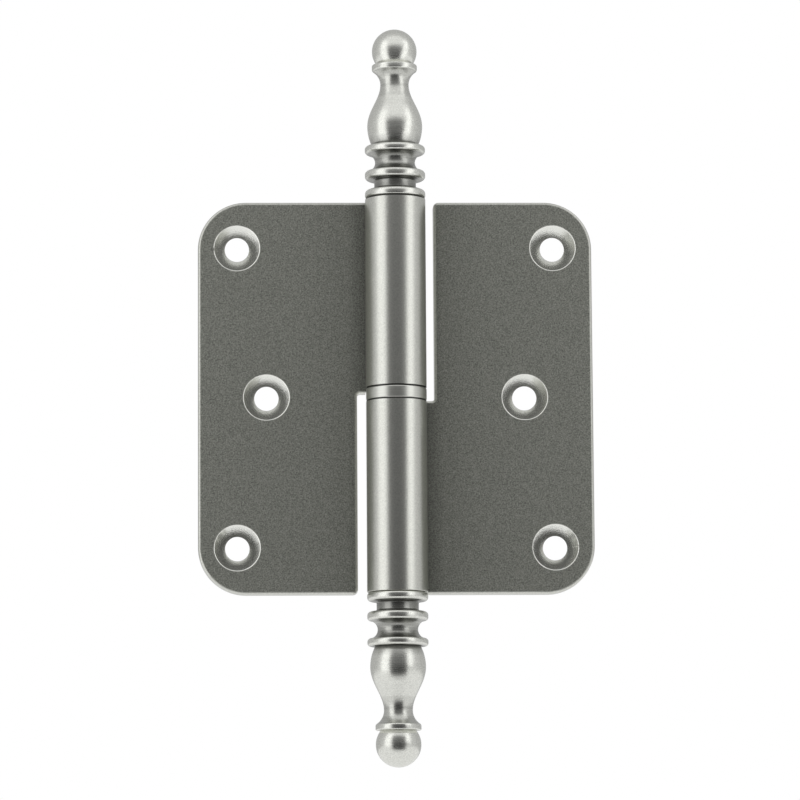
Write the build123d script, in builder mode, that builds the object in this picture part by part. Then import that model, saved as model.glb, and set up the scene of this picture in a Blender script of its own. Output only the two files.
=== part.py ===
from build123d import *
from math import asin, degrees, isclose, sqrt
import os

# Lift-off hinge, open flat. Millimetres, +Z up along the pin, -Y is the front that shows.
# The origin is on the pin's axis at mid-height, where the two knuckles meet.

os.makedirs("parts", exist_ok=True)

# Leaves, each stamped and rolled from one sheet
leaf_height = 89.0
open_width = 89.0  # over both leaves
sheet_thickness = 2.8
corner_radius = 10.8
slot_width = 1.9  # between a leaf and the other leaf's knuckle
slot_overlap = 0.55  # how far the tab at the slot's end reaches past the knuckle's end
slot_mouth_radius = 1.2
slot_end_radius = 0.6
edge_rounding = 0.5  # on the front edges of the sheet

# Screw holes, countersunk from the front
screw_hole_diameter = 5.5
countersink_diameter = 10.4
countersink_angle = 90.0
hole_to_side = 8.8  # from the leaf's outer side
hole_to_end = 10.5  # from the leaf's top or bottom
middle_hole_inset = 6.6  # the middle hole is this much nearer to the knuckle

# Knuckles, pin and bearing ring
pin_diameter = 8.0
running_clearance = 0.05  # all round the pin where the upper knuckle and the ring turn on it
seam_gap = 0.3  # where the rolled end comes back to the sheet
rim_chamfer = 0.25
ring_height = 2.8
ring_chamfer = 0.3
pin_engagement = 28.6  # free length of the pin above the ring
pin_chamfer = 1.0

# Finials: heights along the axis, from the knuckle outwards
spigot_length = 10.0  # pressed into the knuckle
spigot_chamfer = 0.5
base_disc_height = 1.85
groove_height = 2.55
middle_disc_height = 1.9
cove_height = 3.95
top_disc_height = 1.75
belly_height = 4.6  # from the top disc to the widest part of the vase
vase_height = 14.2
flare_height = 3.2
collar_height = 1.3
ball_rise = 3.15  # from the collar to the middle of the ball

# Finials: radii
groove_radius = 4.7
groove_flank = 0.35  # how far each side of the groove leans
cove_rim_radius = 6.0
cove_radius = 4.5  # at the bottom of the cove
foot_radius = 5.1
belly_radius = 6.2
neck_radius = 3.2
collar_radius = 5.1
ball_radius = 5.05
belly_handle = 3.7  # pull of the vase's curve at the belly
neck_handle = 3.3  # and at the neck
disc_rounding = 0.7
collar_chamfer = 0.25

# Sizes that follow
half_width = open_width / 2
half_height = leaf_height / 2
bore_radius = pin_diameter / 2
knuckle_radius = bore_radius + sheet_thickness
journal_radius = bore_radius - running_clearance
knuckle_end = ring_height / 2
leaf_edge = knuckle_radius + slot_width  # distance of a leaf's inner edge from the axis
slot_end = knuckle_end - slot_overlap
outer_hole_x = half_width - hole_to_side
middle_hole_x = outer_hole_x - middle_hole_inset
outer_hole_z = half_height - hole_to_end


def circles(part, radius):
    """The circular edges of a part that have this radius."""
    return part.edges().filter_by(GeomType.CIRCLE).filter_by(lambda edge: isclose(edge.radius, radius))


# The two leaves are one stamping: the lower one is the upper one turned half round about Y.
# The sheet is straight across the back of the knuckle, then rolled up and over the front
# until its end comes back to the sheet's front face.
roll_angle = 270 + degrees(asin((bore_radius - seam_gap) / knuckle_radius))

for leaf_name, side in (("upper_leaf", 1), ("lower_leaf", -1)):
    back = Plane(origin=(0, knuckle_radius, 0), x_dir=(side, 0, 0), z_dir=(0, -1, 0))
    front = back.offset(sheet_thickness)
    knuckle_section = Plane(origin=(0, 0, side * knuckle_end), x_dir=(side, 0, 0), z_dir=(0, 0, side))
    axis_section = Plane(origin=(0, 0, 0), x_dir=(0, 1, 0), z_dir=(side, 0, 0))

    with BuildPart() as leaf:
        # Flat of the leaf, with the tab that leads into the roll
        with BuildSketch(back):
            with BuildLine():
                FilletPolyline(
                    (-half_width, -half_height),
                    (-leaf_edge, -half_height),
                    (-leaf_edge, slot_end),
                    (-knuckle_radius, slot_end),
                    (-knuckle_radius, half_height),
                    (-half_width, half_height),
                    radius=[corner_radius, slot_mouth_radius, slot_end_radius, 0, 0, corner_radius],
                    close=True,
                )
            make_face()
        extrude(amount=sheet_thickness)
        front_edges = leaf.edges().group_by(Axis.Y)[0]
        roll_joint_last = front_edges.sort_by(Axis((0, 0, 0), (side, 0, 0)))
        fillet(roll_joint_last[:-1], edge_rounding)

        # Rolled knuckle
        with BuildSketch(knuckle_section):
            with BuildLine():
                bore = CenterArc((0, 0), bore_radius, 90, -roll_angle)
                outside = CenterArc((0, 0), knuckle_radius, 90, -roll_angle)
                Line(bore @ 1, outside @ 1)
                Polyline(
                    bore @ 0,
                    (-knuckle_radius, bore_radius),
                    (-knuckle_radius, knuckle_radius),
                    outside @ 0,
                )
            make_face()
        extrude(amount=half_height - knuckle_end)

        # Chamfer round both rims of the roll
        with BuildSketch(axis_section):
            for rim, inwards in ((knuckle_end, rim_chamfer), (half_height, -rim_chamfer)):
                with BuildLine():
                    Polyline(
                        (knuckle_radius - 2 * rim_chamfer, rim - inwards),
                        (knuckle_radius + rim_chamfer, rim - inwards),
                        (knuckle_radius + rim_chamfer, rim + 2 * inwards),
                        close=True,
                    )
                make_face()
        revolve(axis=Axis((0, 0, 0), (0, 0, -side)), revolution_arc=roll_angle, mode=Mode.SUBTRACT)

        # Screw holes
        with Locations(front):
            with Locations(
                (-outer_hole_x, outer_hole_z),
                (-middle_hole_x, 0),
                (-outer_hole_x, -outer_hole_z),
            ):
                CounterSinkHole(
                    radius=screw_hole_diameter / 2,
                    counter_sink_radius=countersink_diameter / 2,
                    depth=2 * sheet_thickness,
                    counter_sink_angle=countersink_angle,
                )

    leaf.part.label = leaf_name
    export_step(leaf.part, f"parts/{leaf_name}.step")

# Hinge pin: its seat is pressed into the lower knuckle, down to the finial's spigot,
# and its journal stands up through the ring into the upper knuckle.
pin_bottom = spigot_length - half_height
pin_top = knuckle_end + pin_engagement

with BuildPart() as hinge_pin:
    with BuildSketch(Plane.XZ):
        with BuildLine():
            Polyline(
                (0, pin_bottom),
                (bore_radius, pin_bottom),
                (bore_radius, -knuckle_end),
                (journal_radius, -knuckle_end),
                (journal_radius, pin_top),
                (0, pin_top),
                close=True,
            )
        make_face()
    revolve(axis=Axis.Z)
    chamfer(hinge_pin.edges().group_by(Axis.Z)[-1], pin_chamfer)

hinge_pin.part.label = "hinge_pin"
export_step(hinge_pin.part, "parts/hinge_pin.step")

# Bearing ring between the knuckles
with BuildPart() as bearing_ring:
    with BuildSketch(Plane.XY.offset(-knuckle_end)):
        Circle(knuckle_radius)
        Circle(bore_radius, mode=Mode.SUBTRACT)
    extrude(amount=ring_height)
    chamfer(circles(bearing_ring, knuckle_radius), ring_chamfer)

bearing_ring.part.label = "bearing_ring"
export_step(bearing_ring.part, "parts/bearing_ring.step")

# Finials, turned in one piece: spigot, three discs, vase, collar and ball
middle_disc = base_disc_height + groove_height
cove = middle_disc + middle_disc_height
top_disc = cove + cove_height
vase = top_disc + top_disc_height
neck = vase + vase_height
collar = neck + flare_height
collar_top = collar + collar_height
ball_centre = collar_top + ball_rise
ball_seat_radius = sqrt(ball_radius**2 - ball_rise**2)
belly = (belly_radius, vase + belly_height)

for finial_name, side in (("upper_finial", 1), ("lower_finial", -1)):
    with BuildPart() as finial:
        knuckle_face = Plane(origin=(0, 0, side * half_height), x_dir=(side, 0, 0), z_dir=(0, -1, 0))
        with BuildSketch(knuckle_face):
            with BuildLine():
                Polyline(
                    (0, -spigot_length),
                    (bore_radius, -spigot_length),
                    (bore_radius, 0),
                    (knuckle_radius, 0),
                    (knuckle_radius, base_disc_height),
                    (groove_radius, base_disc_height + groove_flank),
                    (groove_radius, middle_disc - groove_flank),
                    (knuckle_radius, middle_disc),
                    (knuckle_radius, cove),
                    (cove_rim_radius, cove),
                )
                ThreePointArc(
                    (cove_rim_radius, cove),
                    (cove_radius, cove + cove_height / 2),
                    (cove_rim_radius, top_disc),
                )
                Polyline(
                    (cove_rim_radius, top_disc),
                    (knuckle_radius, top_disc),
                    (knuckle_radius, vase),
                    (foot_radius, vase),
                )
                TangentArc(belly, (foot_radius, vase), tangent=(0, -1))
                Bezier(
                    belly,
                    (belly_radius, belly[1] + belly_handle),
                    (neck_radius, neck - neck_handle),
                    (neck_radius, neck),
                )
                TangentArc((neck_radius, neck), (collar_radius, collar), tangent=(0, 1))
                Polyline((collar_radius, collar), (collar_radius, collar_top), (ball_seat_radius, collar_top))
                ThreePointArc(
                    (ball_seat_radius, collar_top),
                    (ball_radius, ball_centre),
                    (0, ball_centre + ball_radius),
                )
                Line((0, ball_centre + ball_radius), (0, -spigot_length))
            make_face()
        revolve(axis=Axis.Z)
        fillet(circles(finial, knuckle_radius), disc_rounding)
        outwards = Axis((0, 0, 0), (0, 0, side))
        collar_rims = circles(finial, collar_radius).sort_by(outwards)[-2:]
        chamfer(collar_rims, collar_chamfer)
        spigot_end = finial.faces().filter_by(Axis.Z).sort_by(outwards)[0]
        chamfer(spigot_end.edges(), spigot_chamfer)

    finial.part.label = finial_name
    export_step(finial.part, f"parts/{finial_name}.step")
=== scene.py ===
# %% [markdown]
# # A lift-off hinge with turned finials
# The hinge has two leaves of satin sheet metal. Each leaf is rolled into half of the knuckle, a loose
# ring lies between the halves, a pin runs inside them, and a turned finial closes each end. The packed
# CAD model is the fixed frame of this lesson. Every piece below is modelled in its place, in metres, and
# takes over from the CAD node that it stands for.

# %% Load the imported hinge
from math import asin, cos, degrees, inf, pi, radians, sin, sqrt

import bmesh
import bpy
from mathutils import Matrix, Quaternion, Vector
from mathutils.geometry import interpolate_bezier, intersect_line_line_2d


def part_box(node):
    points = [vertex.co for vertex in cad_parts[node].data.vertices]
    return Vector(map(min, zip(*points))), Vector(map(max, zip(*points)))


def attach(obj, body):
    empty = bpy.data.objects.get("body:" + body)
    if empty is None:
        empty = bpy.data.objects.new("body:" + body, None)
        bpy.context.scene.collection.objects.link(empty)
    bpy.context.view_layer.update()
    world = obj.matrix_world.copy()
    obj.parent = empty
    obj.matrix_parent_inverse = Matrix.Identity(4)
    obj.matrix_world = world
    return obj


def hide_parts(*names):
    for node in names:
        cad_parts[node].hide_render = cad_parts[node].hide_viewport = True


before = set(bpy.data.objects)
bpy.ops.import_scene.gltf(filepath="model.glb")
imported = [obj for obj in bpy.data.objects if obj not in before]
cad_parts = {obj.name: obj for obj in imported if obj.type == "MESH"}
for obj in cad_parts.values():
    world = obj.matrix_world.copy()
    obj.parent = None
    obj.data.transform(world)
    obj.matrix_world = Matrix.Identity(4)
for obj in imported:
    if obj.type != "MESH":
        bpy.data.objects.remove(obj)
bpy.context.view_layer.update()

print("nodes:", sorted(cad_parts))

# %% [markdown]
# ## Sizes
# A size that the frame can tell is measured there: the CAD node's box gives the outside of the leaves,
# the ring and the pin. The smaller sizes, such as the thickness of the sheet or the width of a slot,
# don't show in a box, so they are written in millimetres where they are needed, as a maker would write
# them on a drawing.

# %% Measure the frame
mm = 0.001
leaf_low, leaf_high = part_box("upper_leaf")
half_width = -leaf_low.x
half_height = leaf_high.z
knuckle_radius = leaf_high.y
knuckle_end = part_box("bearing_ring")[1].z

sheet_thickness = 2.8 * mm
bore_radius = knuckle_radius - sheet_thickness
print("leaf", half_width / mm, "by", 2 * half_height / mm, "mm, knuckle radius", knuckle_radius / mm, "mm")

# %% [markdown]
# ## Turning a bmesh into a piece
# Every piece ends the same way. The bmesh becomes a mesh, its faces are shaded smooth, and edges sharper
# than a set angle are marked sharp. A Weighted Normal modifier then lets large faces decide the shading,
# so a flat leaf stays flat right up to its rounded edge. Last, the piece gets its material and is parented
# to the body that it rides on, and the CAD node that it stands for is hidden.

# %% Finish a piece
sharp_angle = radians(35)


def make_object(name, shape):
    """Turns a bmesh into an object in the scene."""
    mesh = bpy.data.meshes.new(name)
    shape.to_mesh(mesh)
    shape.free()
    made = bpy.data.objects.new(name, mesh)
    bpy.context.scene.collection.objects.link(made)
    return made


def finish_piece(name, shape, finish, node, body):
    """Makes an object from a bmesh and puts it in the place of a CAD node."""
    piece = make_object(name, shape)
    mesh = piece.data
    mesh.shade_smooth()
    mesh.set_sharp_from_angle(angle=sharp_angle)
    mesh.materials.append(finish)
    shading = piece.modifiers.new("flat faces stay flat", "WEIGHTED_NORMAL")
    shading.keep_sharp = True
    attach(piece, body)
    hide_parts(node)
    print(name, "has", len(mesh.polygons), "faces and rides on", body)


print("edges over", round(degrees(sharp_angle)), "degrees stay sharp")

# %% [markdown]
# ## Nodes for the finishes
# A finish is a small tree of shader nodes. It could be wired in the Shader Editor, but in a script it
# reads best as a chain: a helper adds a node and feeds its inputs in one line, and an input takes either
# a plain value or the output of an earlier node. A metal starts with a colour and a roughness on the
# shader itself, and its pattern is linked over them.

# %% Node helpers
black = (0, 0, 0)


def feed(socket, value):
    """Sets an input to a plain value, or links it to the output of another node."""
    if isinstance(value, bpy.types.NodeSocket):
        socket.id_data.links.new(value, socket)
    elif socket.type == "RGBA":
        socket.default_value = (*value, 1)
    else:
        socket.default_value = value


def add_node(tree, kind, **inputs):
    """Adds a shader node and feeds its inputs by name, with spaces in a name written as underscores."""
    node = tree.nodes.new("ShaderNode" + kind)
    for name, value in inputs.items():
        feed(node.inputs[name.replace("_", " ")], value)
    return node


def calculate(tree, kind, operation, *terms):
    """Adds a Math or VectorMath node with its operation and its terms."""
    node = add_node(tree, kind)
    node.operation = operation
    for socket, term in zip(node.inputs, terms):
        feed(socket, term)
    return node


def rescale(tree, value, start, end, low=0.0, high=1.0):
    """Turns values from start to end into values from low to high."""
    node = add_node(tree, "MapRange", Value=value, From_Min=start, From_Max=end, To_Min=low, To_Max=high)
    return node.outputs["Result"]


def mix_values(tree, share, first, second):
    """Mixes two values."""
    return add_node(tree, "Mix", Factor=share, A=first, B=second).outputs["Result"]


def mix_colours(tree, share, first, second):
    """Mixes two colours."""
    mix = add_node(tree, "Mix")
    mix.data_type = "RGBA"
    for name, value in (("Factor", share), ("A", first), ("B", second)):
        feed(mix.inputs[name], value)
    return mix.outputs["Result"]


def start_metal(name, colour, roughness):
    """A material with one metal shader in it, and the shader."""
    metal = bpy.data.materials.new(name)
    metal.use_nodes = True
    shader = metal.node_tree.nodes["Principled BSDF"]
    for socket, value in (("Metallic", 1.0), ("Base Color", colour), ("Roughness", roughness)):
        feed(shader.inputs[socket], value)
    return metal, shader


# %% [markdown]
# ## Matt grain
# The plating has a fine matt grain that all the pieces share. It could be an image, but a noise pattern
# on Object coordinates has no seams and stays sharp from near by. The grain is a node group, so every
# metal has the same grain and sets only how much of it stands up. The group puts out a value, spread so
# that the darkest grains give 0 and the lightest 1, and the normal of a very shallow bump.

# %% Build the grain group
grains_per_metre = 3300.0
grain_height = 0.02 * mm
noise_low = 0.3
noise_high = 0.7

grain_group = bpy.data.node_groups.new("matt grain", "ShaderNodeTree")
grain_group.interface.new_socket("Relief", in_out="INPUT", socket_type="NodeSocketFloat")
grain_group.interface.new_socket("Grain", in_out="OUTPUT", socket_type="NodeSocketFloat")
grain_group.interface.new_socket("Normal", in_out="OUTPUT", socket_type="NodeSocketVector")
relief = grain_group.nodes.new("NodeGroupInput").outputs["Relief"]
place = add_node(grain_group, "TexCoord").outputs["Object"]
noise = add_node(grain_group, "TexNoise", Vector=place, Scale=grains_per_metre, Detail=3.0, Roughness=0.65)
spread = rescale(grain_group, noise.outputs["Fac"], noise_low, noise_high)
bump = add_node(grain_group, "Bump", Height=spread, Strength=relief, Distance=grain_height)
result = grain_group.nodes.new("NodeGroupOutput")
feed(result.inputs["Grain"], spread)
feed(result.inputs["Normal"], bump.outputs["Normal"])


def place_grain(tree, shader, relief):
    """Puts the grain into a material, lets it stand up from the surface and gives its value."""
    grain = add_node(tree, "Group")
    grain.node_tree = grain_group
    feed(grain.inputs["Relief"], relief)
    feed(shader.inputs["Normal"], grain.outputs["Normal"])
    return grain.outputs["Grain"]


print("grain group:", len(grain_group.nodes), "nodes")

# %% [markdown]
# ## Satin sheet
# The leaves are plated sheet with a dull satin shine. The grain shifts the colour and the roughness of
# the metal and stands up a little. Colour alone would look printed, because a real grain also breaks up
# the light that the sheet reflects.

# %% Flat of the sheet
flat_light = (0.45, 0.459, 0.414)
flat_dark = (0.144, 0.147, 0.132)
flat_smooth = 0.64
flat_dull = 0.72
flat_relief = 0.3

sheet_finish, sheet_shader = start_metal("satin sheet", flat_light, flat_smooth)
tree = sheet_finish.node_tree
grain = place_grain(tree, sheet_shader, flat_relief)
flat_colour = mix_colours(tree, grain, flat_dark, flat_light)
flat_roughness = rescale(tree, grain, 0, 1, flat_smooth, flat_dull)
print("flat of the sheet:", len(tree.nodes), "nodes")

# %% [markdown]
# Rolling burnishes the knuckle, so it is lighter and shinier than the flat. The fold beside it gets
# painted shade, a darker colour standing in for the knuckle's shadow, but only on the front: on the back
# the sheet runs straight on. These could be painted on the mesh. They follow the distance from the pin's
# axis, though, and a Mapping node and a Length node read that from the Object coordinates.

# %% Burnished knuckle and painted shade in the fold
rolled_light = (0.73, 0.735, 0.685)
rolled_dark = (0.55, 0.555, 0.515)
rolled_roughness = 0.29
# painted shade: the flat darkens towards the knuckle, on the front only
painted_fold_shade = 0.55
burnish_full = 6.9 * mm
burnish_end = 7.9 * mm
painted_shade_begin = 7.6 * mm
painted_shade_end = 11.5 * mm

place = add_node(tree, "TexCoord").outputs["Object"]
across = add_node(tree, "Mapping", Vector=place, Scale=(1, 1, 0)).outputs["Vector"]
axis_distance = calculate(tree, "VectorMath", "LENGTH", across).outputs["Value"]
burnish = rescale(tree, axis_distance, burnish_end, burnish_full)
# painted shade beside the knuckle, standing in for its shadow on the sheet
painted_fold_shading = rescale(tree, axis_distance, painted_shade_begin, painted_shade_end, painted_fold_shade, 1.0)
depth = add_node(tree, "SeparateXYZ", Vector=place).outputs["Y"]
behind = rescale(tree, depth, bore_radius, knuckle_radius)
painted_front_fold_shade = calculate(tree, "Math", "MAXIMUM", painted_fold_shading, behind).outputs["Value"]
flat_colour_with_painted_shade = mix_colours(tree, painted_front_fold_shade, black, flat_colour)
rolled_colour = mix_colours(tree, grain, rolled_dark, rolled_light)
print("with the knuckle:", len(tree.nodes), "nodes")

# %% [markdown]
# Rounded edges are rubbed bright, partly worn and partly a painted highlight, the countersinks show bare
# cut metal, and the joints at the knuckle's ends get painted shade. All three belong to certain faces, so
# the mesh carries them in a UV map: across it runs the bare cut, from 0 to 1, and up it runs the rubbing
# with its painted highlight, from 0 to 1, with -1 for painted shade in a joint. A Bevel node finds edges
# too, but it can't tell a cut edge from a rubbed one.

# %% Rubbing, cuts, painted highlight and painted shade of the sheet
cut_colour = (0.84, 0.845, 0.80)
cut_roughness = 0.16
# painted shade in the knuckle's joints, standing in for the shadow in the gap
painted_joint_shade = 0.1
wear_and_shade_map = "wear"

wear = add_node(tree, "UVMap")
wear.uv_map = wear_and_shade_map
wear_and_shade_parts = add_node(tree, "SeparateXYZ", Vector=wear.outputs["UV"])
cut = wear_and_shade_parts.outputs["X"]
rub_highlight_or_joint_shade = wear_and_shade_parts.outputs["Y"]
# painted shade: faces marked -1 darken the rolled colour in the joints
painted_joint_darkening = rescale(tree, rub_highlight_or_joint_shade, -1.0, -0.5, painted_joint_shade, 1.0)
# rubbed edges take the burnished colour, partly wear and partly a painted highlight
bright = calculate(tree, "Math", "MAXIMUM", rub_highlight_or_joint_shade, burnish).outputs["Value"]
rolled_colour_with_painted_joint_shade = mix_colours(tree, painted_joint_darkening, black, rolled_colour)
sheet_colour = mix_colours(tree, bright, flat_colour_with_painted_shade, rolled_colour_with_painted_joint_shade)
sheet_roughness = mix_values(tree, bright, flat_roughness, rolled_roughness)
feed(sheet_shader.inputs["Base Color"], mix_colours(tree, cut, sheet_colour, cut_colour))
feed(sheet_shader.inputs["Roughness"], mix_values(tree, cut, sheet_roughness, cut_roughness))
print("satin sheet:", len(tree.nodes), "nodes")

# %% [markdown]
# ## Turned metal
# The finials, the ring and the pin come off a lathe. Very fine rings run round the axis, so the pattern
# is a noise that changes fast along Z and slowly across it: a Mapping node stretches it. Grooves and
# joints get painted shade, standing in for the shade that falls in them. How open a point lies is measured
# when a section is turned, and stored on the mesh as an attribute that the finish reads here.

# %% Turned finish
spots_per_metre = 60
roughness_spread = 0.03
dark_share = 0.8
light_share = 1.15
turned_relief = 0.2
# painted shade: recesses and joints of turned pieces darken towards black
painted_recess_shade = 0.1
recess_closed = 0.25
recess_open = 0.85


def turned_metal(name, colour, roughness, lines_per_metre, streaks):
    """A metal with fine turning lines round the Z axis, with painted shade in its recesses."""
    metal, shader = start_metal(name, colour, roughness)
    tree = metal.node_tree
    place = add_node(tree, "TexCoord").outputs["Object"]
    stretch = (spots_per_metre, spots_per_metre, lines_per_metre)
    along_axis = add_node(tree, "Mapping", Vector=place, Scale=stretch).outputs["Vector"]
    lines = add_node(tree, "TexNoise", Vector=along_axis, Scale=1.0, Detail=2.0).outputs["Fac"]
    smooth, dull = roughness - roughness_spread, roughness + roughness_spread
    feed(shader.inputs["Roughness"], rescale(tree, lines, noise_low, noise_high, smooth, dull))

    grain = place_grain(tree, shader, turned_relief)
    dark = [dark_share * value for value in colour]
    light = [min(1, light_share * value) for value in colour]
    tint = mix_colours(tree, mix_values(tree, streaks, grain, lines), dark, light)
    openness = add_node(tree, "Attribute")
    openness.attribute_name = "openness"
    # painted shade where a point lies closed in, standing in for the shade in grooves and joints
    painted_recess_shading = rescale(tree, openness.outputs["Fac"], recess_closed, recess_open, painted_recess_shade, 1.0)
    feed(shader.inputs["Base Color"], mix_colours(tree, painted_recess_shading, black, tint))
    print(name, len(tree.nodes), "nodes")
    return metal


finial_finish = turned_metal("turned satin", colour=(0.75, 0.755, 0.71), roughness=0.28,
                             lines_per_metre=5000.0, streaks=0.1)
ring_finish = turned_metal("turned ring", colour=(0.68, 0.685, 0.64), roughness=0.32,
                           lines_per_metre=5000.0, streaks=0.8)
pin_finish = turned_metal("ground pin", colour=(0.58, 0.584, 0.56), roughness=0.20,
                          lines_per_metre=9000.0, streaks=0.8)

# %% [markdown]
# ## Leaves
# A leaf is stamped flat, with a tab at one side, and the tab is rolled into the knuckle. The model is
# made the same way. Nine corners make the flat blank, a vertex bevel rounds some of them, and an
# extrusion gives it the thickness of the sheet. Then the end of the tab is spun round the pin's axis. A
# tube set beside a plate would be quicker, but the roll stays one piece with the leaf and leaves a real
# seam where its end comes back to the sheet.

# %% Flat blank
corner_radius = 10.8 * mm
slot_width = 1.9 * mm
slot_overlap = 0.55 * mm
slot_mouth_radius = 1.2 * mm
slot_end_radius = 0.6 * mm
leaf_edge = knuckle_radius + slot_width
slot_end = knuckle_end - slot_overlap
corner_steps = 24
small_corner_steps = 8


def round_corner(shape, vert, radius, steps):
    """Rounds one corner of an outline with an arc."""
    bmesh.ops.bevel(shape, geom=[vert], offset=radius, segments=steps, affect="VERTICES", profile=0.5,
                    material=-1)


def flat_blank():
    """The leaf before it is rolled: a round-cornered sheet with a tab that ends over the pin's axis."""
    blank = bmesh.new()
    corners = (
        (-half_width, -half_height, corner_radius, corner_steps),
        (-leaf_edge, -half_height, slot_mouth_radius, small_corner_steps),
        (-leaf_edge, slot_end, slot_end_radius, small_corner_steps),
        (-knuckle_radius, slot_end, 0, 0),
        (-knuckle_radius, knuckle_end, 0, 0),
        (0, knuckle_end, 0, 0),
        (0, half_height, 0, 0),
        (-knuckle_radius, half_height, 0, 0),
        (-half_width, half_height, corner_radius, corner_steps),
    )
    verts = [blank.verts.new((x, knuckle_radius, z)) for x, z, radius, steps in corners]
    blank.faces.new(verts)
    for vert, (x, z, radius, steps) in zip(verts, corners):
        if radius:
            round_corner(blank, vert, radius, steps)
    sheet = bmesh.ops.extrude_face_region(blank, geom=blank.faces[:])["geom"]
    raised = [item for item in sheet if isinstance(item, bmesh.types.BMVert)]
    bmesh.ops.translate(blank, vec=(0, -sheet_thickness, 0), verts=raised)
    bmesh.ops.recalc_face_normals(blank, faces=blank.faces[:])
    return blank


trial = flat_blank()
print("flat blank:", len(trial.faces), "faces")
trial.free()

# %% Roll the knuckle
front = knuckle_radius - sheet_thickness
edge_rounding = 0.7 * mm
edge_steps = 5
seam_gap = 0.3 * mm
rim_chamfer = 0.25 * mm
rim_steps = 2
roll_steps = 96
roll_angle = 1.5 * pi + asin((bore_radius - seam_gap) / knuckle_radius)
tolerance = 0.001 * mm


def close(a, b):
    """Whether two lengths are the same, to a thousandth of a millimetre."""
    return abs(a - b) < tolerance


def soften(shape, edges, width, steps):
    """Rounds a set of edges."""
    bmesh.ops.bevel(shape, geom=edges, offset=width, segments=steps, affect="EDGES", profile=0.5,
                    material=-1)


def roll_knuckle(leaf):
    """Spins the end of the tab round the pin's axis and softens the front edges and the rims."""
    front_edges = [
        edge for edge in leaf.edges
        if all(close(vert.co.y, front) for vert in edge.verts)
        and min(vert.co.x for vert in edge.verts) < -knuckle_radius - tolerance
    ]
    soften(leaf, front_edges, edge_rounding, edge_steps)
    tab_end = [face for face in leaf.faces if all(close(vert.co.x, 0) for vert in face.verts)]
    bmesh.ops.spin(leaf, geom=tab_end, cent=(0, 0, 0), axis=(0, 0, -1), angle=roll_angle, steps=roll_steps)
    bmesh.ops.delete(leaf, geom=tab_end, context="FACES_ONLY")
    rims = [
        edge for edge in leaf.edges
        if all(close(vert.co.xy.length, knuckle_radius) for vert in edge.verts)
        and close(edge.verts[0].co.z, edge.verts[1].co.z)
    ]
    soften(leaf, rims, rim_chamfer, rim_steps)


print("the tab is rolled by", round(degrees(roll_angle), 1), "degrees")

# %% [markdown]
# ## Screw holes
# Each leaf has three countersunk holes, the middle one nearer to the knuckle. A countersink is a turned
# shape, so its cutter is half a section spun round the hole's axis, and a Boolean modifier takes it out
# of the sheet. The holes could be inset from a ring of faces too, but the flat blank has no such ring, and
# a cutter gives the true cone at once. The result is read back as a mesh. Then the rim of each
# countersink gets a tiny bevel, because a cut edge that catches no light at all never looks like metal.

# %% Countersink cutter
screw_hole_radius = 2.75 * mm
countersink_radius = 5.2 * mm
countersink_depth = countersink_radius - screw_hole_radius
hole_to_side = 8.8 * mm
hole_to_end = 10.5 * mm
middle_hole_inset = 6.6 * mm
cutter_margin = 1 * mm
cutter_steps = 96
outer_hole_x = -half_width + hole_to_side
hole_places = (
    (outer_hole_x, half_height - hole_to_end),
    (outer_hole_x + middle_hole_inset, 0),
    (outer_hole_x, hole_to_end - half_height),
)


def countersink_cutter():
    """Three countersinks as closed turned shapes."""
    cutter = bmesh.new()
    section = (
        (0, front - cutter_margin),
        (countersink_radius + cutter_margin, front - cutter_margin),
        (screw_hole_radius, front + countersink_depth),
        (screw_hole_radius, knuckle_radius + cutter_margin),
        (0, knuckle_radius + cutter_margin),
    )
    for x, z in hole_places:
        points = [cutter.verts.new((x + radius, y, z)) for radius, y in section]
        lines = [cutter.edges.new(pair) for pair in zip(points, points[1:])]
        bmesh.ops.spin(cutter, geom=points + lines, cent=(x, 0, z), axis=(0, 1, 0), angle=2 * pi,
                       steps=cutter_steps, use_merge=True)
    bmesh.ops.remove_doubles(cutter, verts=cutter.verts[:], dist=tolerance)
    bmesh.ops.recalc_face_normals(cutter, faces=cutter.faces[:])
    return cutter


trial = countersink_cutter()
print("cutter:", len(trial.faces), "faces")
trial.free()

# %% Drill the holes
rim_rounding = 0.18 * mm


def nearest_hole(point):
    """Distance from a point to the axis of the nearest screw hole."""
    return min((Vector((point.x, point.z)) - Vector(place)).length for place in hole_places)


def on_countersink_rim(vert):
    """Whether a point lies on the front rim of a countersink."""
    return close(vert.co.y, front) and close(nearest_hole(vert.co), countersink_radius)


def drill_holes(leaf):
    """Takes the countersinks out of a leaf and softens their rims."""
    sheet = make_object("sheet", leaf)
    cutter = make_object("cutter", countersink_cutter())
    holes = sheet.modifiers.new("screw holes", "BOOLEAN")
    holes.operation = "DIFFERENCE"
    holes.solver = "EXACT"
    holes.object = cutter
    drilled_sheet = sheet.evaluated_get(bpy.context.evaluated_depsgraph_get())
    drilled_mesh = bpy.data.meshes.new_from_object(drilled_sheet)
    drilled = bmesh.new()
    drilled.from_mesh(drilled_mesh)
    for mesh in (sheet.data, cutter.data, drilled_mesh):
        bpy.data.meshes.remove(mesh)
    rims = [edge for edge in drilled.edges if all(on_countersink_rim(vert) for vert in edge.verts)]
    soften(drilled, rims, rim_rounding, rim_steps)
    return drilled


print("holes at", [(round(x / mm, 1), round(z / mm, 1)) for x, z in hole_places], "mm")

# %% [markdown]
# ## Map of rubbing, cuts and painted shade
# The finish of the sheet asks each face how worn it is. Faces inside a countersink are cut. Faces that
# aren't flat lie on an edge, and they are rubbed, with a painted highlight, from a hair below the front
# face on. The slanting faces of the knuckle's rims lie in a joint. The joints at the ring and under the
# upper finial get painted shade, while the joint at the lower finial gets none and stays lighter.

# %% Mark rubbing, cuts and painted shade
rubbed_highlight_depth = edge_rounding / 8
flat_normal = 0.999
rim_normal_low = 0.2
rim_normal_high = 0.98


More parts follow.
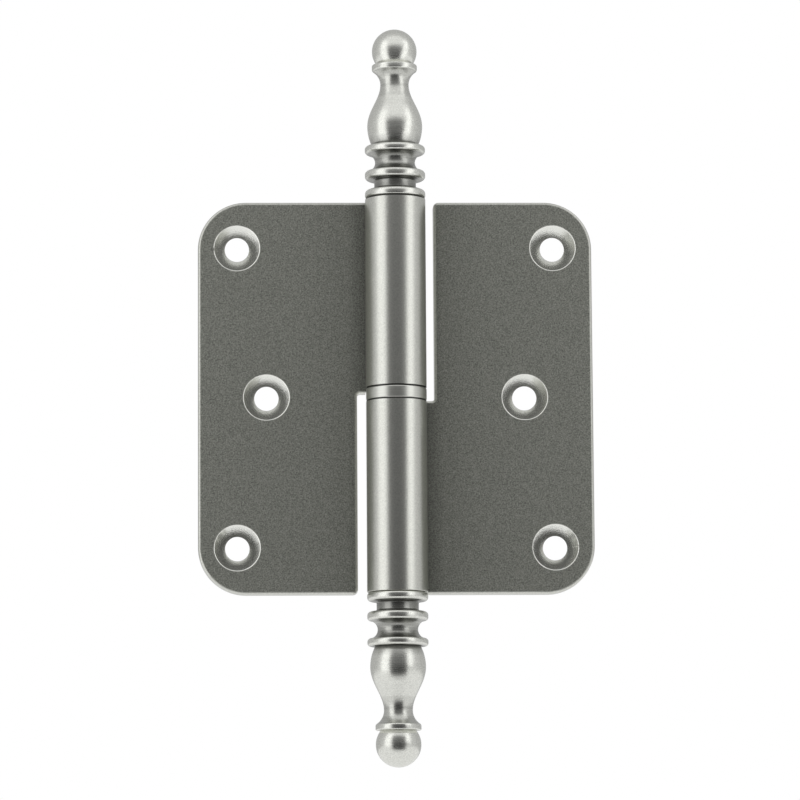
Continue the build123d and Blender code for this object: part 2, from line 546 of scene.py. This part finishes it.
def mark_wear_and_shade(leaf, painted_shade_at_end):
    """Fills the map of rubbing, cuts and painted shade of a leaf, with painted shade in the joint at the
    knuckle's outer end or without.
    """
    wear = leaf.loops.layers.uv.new(wear_and_shade_map)
    for face in leaf.faces:
        centre = face.calc_center_median()
        in_hole = nearest_hole(centre) < countersink_radius
        on_flat = abs(face.normal.y) > flat_normal
        on_roll = centre.x > -knuckle_radius and centre.xy.length > knuckle_radius - rim_chamfer
        on_rim = on_roll and rim_normal_low < abs(face.normal.z) < rim_normal_high
        # painted shade in the joints, left out at the lower finial's end
        in_painted_joint_shade = on_rim and (painted_shade_at_end or centre.z < half_height / 2)
        for loop in face.loops:
            cut, rub_highlight_or_joint_shade = 0, 0
            if in_hole and not on_flat:
                cut = 1
            elif in_painted_joint_shade:
                rub_highlight_or_joint_shade = -1
            elif not on_flat:
                # rubbing on the edge, partly wear and partly a painted highlight
                rub_highlight_or_joint_shade = min(1, sqrt(max(0, loop.vert.co.y - front) / rubbed_highlight_depth))
            loop[wear].uv = (cut, rub_highlight_or_joint_shade)


print("edges are rubbed from", round(rubbed_highlight_depth / mm, 3), "mm below the front")

# %% Make both leaves
half_turn = Matrix.Rotation(pi, 3, "Y")

for name, node, body in (("rolled_upper_leaf", "upper_leaf", "door_leaf"),
                         ("rolled_lower_leaf", "lower_leaf", "frame_leaf")):
    leaf = flat_blank()
    roll_knuckle(leaf)
    leaf = drill_holes(leaf)
    # painted shade at the knuckle's outer end only on the upper leaf
    mark_wear_and_shade(leaf, painted_shade_at_end=node == "upper_leaf")
    if node == "lower_leaf":
        bmesh.ops.rotate(leaf, cent=(0, 0, 0), matrix=half_turn, verts=leaf.verts[:])
    loose = [edge for edge in leaf.edges if not edge.is_manifold]
    print(node, "open edges:", len(loose), "volume mm3:", round(leaf.calc_volume() / mm**3, 1))
    finish_piece(name, leaf, sheet_finish, node, body)

# %% [markdown]
# ## Turned pieces
# The pin, the ring and the finials are all turned, so each is half a section spun once round the Z axis.
# A section is drawn with a pen: a vertex is extruded to draw a line, and spun round a centre to draw an
# arc. Before the section is spun, rays go out from each of its points, and the share that meets no wall
# says how open the point lies, which sets the painted shade of the turned finish. That is quick in two
# dimensions, and it stays the same from every side.

# %% Section pen
def line_to(section, pen, radius, height):
    """Draws a straight line of a section and returns the pen at its end."""
    pen = bmesh.ops.extrude_vert_indiv(section, verts=[pen])["verts"][0]
    pen.co = (radius, 0, height)
    return pen


def arc_to(section, pen, radius, height, angle, steps):
    """Swings the pen round a centre in the section and returns it at the arc's end."""
    swing = bmesh.ops.spin(section, geom=[pen], cent=(radius, 0, height), axis=(0, -1, 0), angle=angle,
                           steps=steps)
    return next(item for item in swing["geom_last"] if isinstance(item, bmesh.types.BMVert))


# %% Lathe
lathe_steps = 128
ray_count = 24
first_ray = 5
ray_start = 0.02 * mm
ray_reach = 30 * mm
ray_angles = [radians(360 / ray_count * step + first_ray) for step in range(ray_count)]
rays = [Vector((cos(angle), sin(angle))) for angle in ray_angles]


def mark_recesses(section, neighbours, unshaded_above):
    """Stores on each point how open it lies, for the painted shade: 1 on a flat side, less in a groove,
    more on a rim.
    """
    openness = section.verts.layers.float.new("openness")
    walls = [[Vector((vert.co.x, vert.co.z)) for vert in edge.verts] for edge in section.edges]
    walls += [[Vector(end) for end in wall] for wall in neighbours]
    for vert in section.verts:
        place = Vector((vert.co.x, vert.co.z))
        free = 0
        for ray in rays:
            begin = place + ray_start * ray
            end = place + ray_reach * ray
            if end.x > 0 and not any(intersect_line_line_2d(begin, end, *wall) for wall in walls):
                free += 1
        # above unshaded_above a point gets no painted shade
        vert[openness] = 1 if vert.co.z > unshaded_above else free / (ray_count / 2)


def spin_section(section, neighbours=(), unshaded_above=inf):
    """Turns a section into a solid of revolution round the Z axis."""
    mark_recesses(section, neighbours, unshaded_above)
    bmesh.ops.spin(section, geom=section.verts[:] + section.edges[:], cent=(0, 0, 0), axis=(0, 0, 1),
                   angle=2 * pi, steps=lathe_steps, use_merge=True)
    bmesh.ops.remove_doubles(section, verts=section.verts[:], dist=tolerance)
    bmesh.ops.recalc_face_normals(section, faces=section.faces[:])
    return section


print("a full turn takes", lathe_steps, "steps, and a point sends out", len(rays), "rays")

# %% [markdown]
# ## Pin and ring
# The pin is pressed into the lower knuckle. Above the ring it is a hair thinner, so that the upper
# knuckle turns on it, and its top has a chamfer to find the bore when the door is hung. The ring is a
# plain washer with softened outer edges. A cylinder would do for either, but a section keeps the shoulder
# and the chamfer.

# %% Pin
running_clearance = 0.05 * mm
pin_chamfer = 1.0 * mm
pin_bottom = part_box("hinge_pin")[0].z
pin_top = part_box("hinge_pin")[1].z
journal_radius = bore_radius - running_clearance
shoulder = -knuckle_end - running_clearance

pin = bmesh.new()
pen = pin.verts.new((0, 0, pin_bottom))
for radius, height in (
    (bore_radius, pin_bottom),
    (bore_radius, shoulder),
    (journal_radius, shoulder),
    (journal_radius, pin_top - pin_chamfer),
    (journal_radius - pin_chamfer, pin_top),
    (0, pin_top),
):
    pen = line_to(pin, pen, radius, height)
finish_piece("ground_hinge_pin", spin_section(pin), pin_finish, "hinge_pin", "frame_leaf")

# %% Bearing ring
ring_rounding = 0.35 * mm
ring_rounding_steps = 4
knuckle_rim = (knuckle_radius - rim_chamfer, knuckle_end)
knuckle_side = (knuckle_radius, knuckle_end + rim_chamfer)
knuckle_walls = [
    ((bore_radius, knuckle_end), knuckle_rim),
    (knuckle_rim, knuckle_side),
    (knuckle_side, (knuckle_radius, half_height)),
]
knuckle_walls += [[(radius, -height) for radius, height in wall] for wall in knuckle_walls]

ring = bmesh.new()
ring_corners = [
    ring.verts.new((radius, 0, height))
    for radius, height in ((bore_radius, -knuckle_end), (knuckle_radius, -knuckle_end),
                           (knuckle_radius, knuckle_end), (bore_radius, knuckle_end))
]
ring.faces.new(ring_corners)
for corner in ring_corners[1:3]:
    round_corner(ring, corner, ring_rounding, ring_rounding_steps)
bmesh.ops.delete(ring, geom=ring.faces[:], context="FACES_ONLY")
ring = spin_section(ring, knuckle_walls)
finish_piece("turned_bearing_ring", ring, ring_finish, "bearing_ring", "ring")

# %% [markdown]
# ## Finials
# A finial is turned in one piece. From the knuckle outwards it has a spigot inside the bore, a base disc,
# a groove, a middle disc, a cove, a top disc, a vase, a collar and a ball. The straight steps are lines,
# the cove, the foot of the vase, the flare under the collar and the ball are arcs, and the long side of
# the vase is one Bezier curve with upright handles at the belly and the neck. Stacked spheres and
# cylinders would leave hard joints where the lathe leaves one flowing line.

# %% Finial sizes
spigot_length = 10.0 * mm
spigot_chamfer = 0.5 * mm
base_disc_height = 1.85 * mm
groove_height = 2.55 * mm
middle_disc_height = 1.9 * mm
cove_height = 3.95 * mm
top_disc_height = 1.75 * mm
belly_height = 4.6 * mm
vase_height = 14.2 * mm
flare_height = 3.2 * mm
collar_height = 1.3 * mm
ball_rise = 3.15 * mm

groove_radius = 4.7 * mm
groove_flank = 0.35 * mm
cove_rim_radius = 6.0 * mm
cove_radius = 4.5 * mm
foot_radius = 5.1 * mm
belly_radius = 6.2 * mm
neck_radius = 3.2 * mm
collar_radius = 5.1 * mm
ball_radius = 5.05 * mm
belly_handle = 3.7 * mm
neck_handle = 3.3 * mm
disc_rounding = 0.7 * mm
groove_rounding = 0.3 * mm
collar_rounding = 0.3 * mm

base_disc = half_height
groove = base_disc + base_disc_height
middle_disc = groove + groove_height
cove = middle_disc + middle_disc_height
top_disc = cove + cove_height
vase = top_disc + top_disc_height
belly = vase + belly_height
neck = vase + vase_height
collar = neck + flare_height
collar_top = collar + collar_height
ball_centre = collar_top + ball_rise

# %% Finial section
cove_steps = 24
foot_steps = 8
vase_points = 25
flare_steps = 12
ball_steps = 40
rounding_steps = 5


def arc_radius(reach, rise):
    """Radius of an arc that starts upright and moves sideways by reach while it rises."""
    return (reach**2 + rise**2) / (2 * reach)


def draw_lines(section, pen, stops):
    """Draws straight lines and adds each corner that will be rounded to the list that its stop names."""
    for radius, height, corners in stops:
        pen = line_to(section, pen, radius, height)
        if corners is not None:
            corners.append(pen)
    return pen


def finial_section():
    """Half a section of a finial, drawn from the spigot's end to the tip of the ball."""
    section = bmesh.new()
    pen = section.verts.new((0, 0, base_disc - spigot_length))
    rims, groove_corners, collar_corners = [], [], []
    pen = draw_lines(section, pen, (
        (bore_radius - spigot_chamfer, base_disc - spigot_length, None),
        (bore_radius, base_disc - spigot_length + spigot_chamfer, None),
        (bore_radius, base_disc, None),
        (knuckle_radius, base_disc, rims),
        (knuckle_radius, groove, rims),
        (groove_radius, groove + groove_flank, groove_corners),
        (groove_radius, middle_disc - groove_flank, groove_corners),
        (knuckle_radius, middle_disc, rims),
        (knuckle_radius, cove, rims),
        (cove_rim_radius, cove, None),
    ))

    cove_arc = arc_radius(cove_rim_radius - cove_radius, cove_height / 2)
    cove_angle = 2 * asin(cove_height / 2 / cove_arc)
    pen = arc_to(section, pen, cove_radius + cove_arc, cove + cove_height / 2, -cove_angle, cove_steps)
    pen = draw_lines(section, pen, (
        (knuckle_radius, top_disc, rims),
        (knuckle_radius, vase, rims),
        (foot_radius, vase, None),
    ))

    foot_arc = arc_radius(belly_radius - foot_radius, belly_height)
    pen = arc_to(section, pen, belly_radius - foot_arc, belly, asin(belly_height / foot_arc), foot_steps)
    vase_side = interpolate_bezier(
        (belly_radius, 0, belly),
        (belly_radius, 0, belly + belly_handle),
        (neck_radius, 0, neck - neck_handle),
        (neck_radius, 0, neck),
        vase_points,
    )
    pen = draw_lines(section, pen, [(point.x, point.z, None) for point in vase_side[1:]])

    flare_arc = arc_radius(collar_radius - neck_radius, flare_height)
    pen = arc_to(section, pen, neck_radius + flare_arc, neck, -asin(flare_height / flare_arc), flare_steps)
    collar_corners.append(pen)
    pen = draw_lines(section, pen, (
        (collar_radius, collar_top, collar_corners),
        (sqrt(ball_radius**2 - ball_rise**2), collar_top, None),
    ))
    arc_to(section, pen, 0, ball_centre, pi / 2 + asin(ball_rise / ball_radius), ball_steps)

    for corners, rounding in ((rims, disc_rounding), (groove_corners, groove_rounding),
                              (collar_corners, collar_rounding)):
        for corner in corners:
            round_corner(section, corner, rounding, rounding_steps)
    return section


trial = finial_section()
widest = max(vert.co.x for vert in trial.verts)
print("finial section:", len(trial.verts), "points, widest", round(widest / mm, 2), "mm")
trial.free()

# %% [markdown]
# The upper finial takes the knuckle's end into account when its recesses are measured, so its joint gets
# painted shade; the lower finial leaves it out, and its joint stays lighter. From the collar outwards no
# painted shade is given, so the joint under the ball stays bright.

# %% Make both finials
finial_walls = [
    ((knuckle_radius - rim_chamfer, base_disc), (knuckle_radius, base_disc - rim_chamfer)),
    ((knuckle_radius, base_disc - rim_chamfer), (knuckle_radius, knuckle_end)),
]
for name, node, body in (("turned_upper_finial", "upper_finial", "door_leaf"),
                         ("turned_lower_finial", "lower_finial", "frame_leaf")):
    walls = finial_walls if node == "upper_finial" else ()
    finial = spin_section(finial_section(), walls, unshaded_above=collar)
    if node == "lower_finial":
        bmesh.ops.rotate(finial, cent=(0, 0, 0), matrix=half_turn, verts=finial.verts[:])
    finish_piece(name, finial, finial_finish, node, body)

# %% [markdown]
# ## Camera
# The hinge is seen from the front and a little from below, from about a metre away through a long lens.
# The camera is placed by an azimuth and an elevation round the point that it aims at, and rolled a
# little. A Track To constraint could aim it too, but it would keep the camera level.

# %% Place the camera
aim = Vector((0.8 * mm, 0, -1.2 * mm))
view_distance = 1.0
view_azimuth = radians(-2.0)
view_elevation = radians(-7.7)
view_roll = radians(-0.37)
focal_length = 200.8
sensor_width = 36.0
towards_camera = Vector((
    sin(view_azimuth) * cos(view_elevation),
    -cos(view_azimuth) * cos(view_elevation),
    sin(view_elevation),
))

lens = bpy.data.cameras.new("camera")
lens.lens = focal_length
lens.sensor_width = sensor_width
camera = bpy.data.objects.new("camera", lens)
camera.location = aim + view_distance * towards_camera
camera.rotation_mode = "QUATERNION"
upright = (-towards_camera).to_track_quat("-Z", "Y")
camera.rotation_quaternion = upright @ Quaternion((0, 0, 1), view_roll)
bpy.context.scene.collection.objects.link(camera)
bpy.context.scene.camera = camera
print("camera at", [round(value, 4) for value in camera.location])

# %% [markdown]
# ## Studio
# Metal shows what stands round it, so its light is built as things that it can show. A large glowing
# sphere is the tent, brightest at the sides. A dim wall close in front stands for the opening that the
# camera looks through, and gives the flat leaves their grey. Three soft boxes, at the left, at the right
# and above, draw the bright bands on the knuckle and the finials. Point lamps would light the hinge too,
# but they would show in it as small spots. The camera sees none of these, only a plain white world and a
# pale floor.

# %% Studio helpers
def glowing(name):
    """A material that gives light, and the input for its strength."""
    cloth = bpy.data.materials.new(name)
    cloth.use_nodes = True
    tree = cloth.node_tree
    tree.nodes.remove(tree.nodes["Principled BSDF"])
    light = add_node(tree, "Emission")
    feed(tree.nodes["Material Output"].inputs["Surface"], light.outputs["Emission"])
    return cloth, light.inputs["Strength"]


def strength_ramp(tree, share, steps):
    """A ramp that goes through pairs of share and strength, evenly in between."""
    ramp = add_node(tree, "ValToRGB", Fac=share)
    stops = ramp.color_ramp.elements
    while len(stops) < len(steps):
        stops.new(0.5)
    for stop, (position, strength) in zip(stops, steps):
        stop.position = position
        stop.color = (strength, strength, strength, 1)
    return ramp.outputs["Color"]


def stage_object(name, shape, material, seen=False):
    """Makes a part of the studio from a bmesh, seen by the camera or only in reflections."""
    item = make_object(name, shape)
    item.data.materials.append(material)
    item.visible_camera = seen
    return item


def rectangle(left, right, low, high, y):
    """An upright rectangle that faces along Y."""
    shape = bmesh.new()
    corners = ((left, y, low), (right, y, low), (right, y, high), (left, y, high))
    shape.faces.new([shape.verts.new(corner) for corner in corners])
    return shape


# %% Light tent
tent_radius = 2.5
tent_glow = ((0, 0.3), (30, 0.4), (45, 0.7), (60, 0.7), (85, 0.65), (110, 0.55), (180, 0.5))

cloth, cloth_strength = glowing("glowing cloth")
tree = cloth.node_tree
place = add_node(tree, "TexCoord").outputs["Object"]
towards = calculate(tree, "VectorMath", "NORMALIZE", place).outputs["Vector"]
frontness = calculate(tree, "VectorMath", "DOT_PRODUCT", towards, (0, -1, 0)).outputs["Value"]
off_front = calculate(tree, "Math", "ARCCOSINE", frontness).outputs["Value"]
glow_steps = [(degrees_off / 180, strength) for degrees_off, strength in tent_glow]
feed(cloth_strength, strength_ramp(tree, rescale(tree, off_front, 0, pi), glow_steps))

tent_shape = bmesh.new()
bmesh.ops.create_uvsphere(tent_shape, u_segments=48, v_segments=24, radius=tent_radius)
tent = stage_object("light_tent", tent_shape, cloth)
print("tent of", len(tent.data.polygons), "faces")

# %% Dim wall in front
card_distance = 0.28
card_half_width = 0.2
card_low = -0.24
card_high = 0.2
card_glow = (
    (-0.24, 0.03), (-0.08, 0.06), (-0.01, 0.15), (0.06, 0.15), (0.14, 0.2), (0.18, 0.4), (0.20, 0.7),
)

card_paper, card_strength = glowing("front wall")
tree = card_paper.node_tree
place = add_node(tree, "TexCoord").outputs["Object"]
rise = add_node(tree, "SeparateXYZ", Vector=place).outputs["Z"]
glow_steps = [((z - card_low) / (card_high - card_low), strength) for z, strength in card_glow]
feed(card_strength, strength_ramp(tree, rescale(tree, rise, card_low, card_high), glow_steps))

card_shape = rectangle(-card_half_width, card_half_width, card_low, card_high, -card_distance)
card = stage_object("dark_card", card_shape, card_paper)
print("front wall", 2 * card_half_width, "m wide")


# %% Soft boxes
def soft_box(name, width, length, roll, tilt, distance, height, azimuth, strength):
    """A glowing rectangle that faces the hinge."""
    shape = rectangle(-width / 2, width / 2, -length / 2, length / 2, 0)
    turn = Matrix.Rotation(tilt, 3, "X") @ Matrix.Rotation(roll, 3, "Y")
    bmesh.ops.rotate(shape, cent=(0, 0, 0), matrix=turn, verts=shape.verts[:])
    bmesh.ops.translate(shape, vec=(0, -distance, height), verts=shape.verts[:])
    bmesh.ops.rotate(shape, cent=(0, 0, 0), matrix=Matrix.Rotation(azimuth, 3, "Z"), verts=shape.verts[:])
    cloth, cloth_strength = glowing(name)
    feed(cloth_strength, strength)
    print(name, width, "by", length, "m")
    return stage_object(name, shape, cloth)


left_box = soft_box("left_soft_box", width=0.120, length=0.38, roll=0, tilt=0, distance=0.18, height=0.08,
                    azimuth=radians(-58), strength=1.35)
right_box = soft_box("right_soft_box", width=0.085, length=0.34, roll=radians(15), tilt=0, distance=0.18,
                     height=0.11, azimuth=radians(60), strength=1.4)
top_box = soft_box("top_soft_box", width=0.40, length=0.22, roll=0, tilt=radians(-65), distance=0.14,
                   height=0.25, azimuth=0, strength=0.95)

# %% [markdown]
# The floor is pale and matt, and takes the hinge's shadow. For the camera, and in what metal and glass
# show of it, most of it is a plain white, so that it runs into the white world behind without an edge. A
# Light Path node tells those rays from the rest.

# %% Pale floor and white world
floor_height = -0.45
floor_radius = 12.0
floor_colour = (0.9, 0.9, 0.9)
floor_white = 0.85
plain_white = (1, 1, 1)

floor_paper = bpy.data.materials.new("pale floor")
floor_paper.use_nodes = True
tree = floor_paper.node_tree
floor_shader = tree.nodes["Principled BSDF"]
feed(floor_shader.inputs["Base Color"], floor_colour)
feed(floor_shader.inputs["Roughness"], 1.0)
looking = add_node(tree, "LightPath").outputs
seen = calculate(tree, "Math", "MAXIMUM", looking["Is Camera Ray"], looking["Is Glossy Ray"])
seen = calculate(tree, "Math", "MAXIMUM", seen.outputs["Value"], looking["Is Transmission Ray"])
amount = calculate(tree, "Math", "MULTIPLY", seen.outputs["Value"], floor_white)
white = add_node(tree, "Emission", Color=plain_white, Strength=1.0)
blend = add_node(tree, "MixShader", Fac=amount.outputs["Value"])
feed(blend.inputs[1], floor_shader.outputs["BSDF"])
feed(blend.inputs[2], white.outputs["Emission"])
feed(tree.nodes["Material Output"].inputs["Surface"], blend.outputs["Shader"])

floor_shape = bmesh.new()
bmesh.ops.create_circle(floor_shape, cap_ends=True, segments=64, radius=floor_radius,
                        matrix=Matrix.Translation((0, 0, floor_height)))
floor = stage_object("floor", floor_shape, floor_paper, seen=True)

world = bpy.data.worlds.new("white world")
world.use_nodes = True
backdrop = world.node_tree.nodes["Background"]
feed(backdrop.inputs["Color"], plain_white)
feed(backdrop.inputs["Strength"], 1.0)
bpy.context.scene.world = world
bpy.context.scene.view_settings.view_transform = "Standard"
print("floor at", floor_height, "m, world", world.name)
